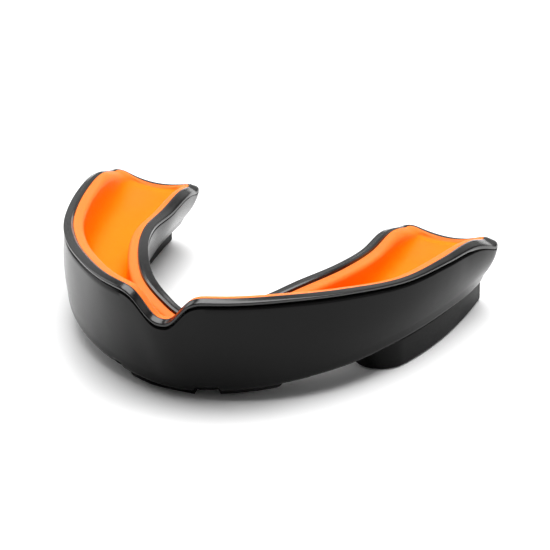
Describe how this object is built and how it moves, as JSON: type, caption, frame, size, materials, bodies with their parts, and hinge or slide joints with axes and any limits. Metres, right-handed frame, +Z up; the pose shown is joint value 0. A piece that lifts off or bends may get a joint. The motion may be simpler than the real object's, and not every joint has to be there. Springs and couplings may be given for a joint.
{
  "type": "mouthguard",
  "caption": "Layered mouthguard with an orange gel liner, a black rolled rim, a black outer shell, molar bite pads and a lip notch.",
  "frame": {"origin": "centre of the rectangle the guard covers on the surface it lies on, at the level of the undersides of its molar pads", "axes": "+Z up out of the tooth trough, +Y from the lips toward the throat, +X toward the right-hand side seen from the front"},
  "size_m": [0.064, 0.051, 0.0177],
  "materials": {
    "liner_gel": "satin, slightly translucent orange thermoplastic gel",
    "rim_rubber": "smooth glossy black moulded rubber",
    "shell_rubber": "fine matt-satin black moulded rubber",
    "pad_rubber": "matt black moulded rubber"
  },
  "bodies": {
    "root": {"gel_liner": "liner_gel", "rim_frame": "rim_rubber", "outer_shell": "shell_rubber", "front_bite_plate": "pad_rubber", "molar_pad_left": "pad_rubber", "molar_pad_right": "pad_rubber"}
  },
  "joints": []
}
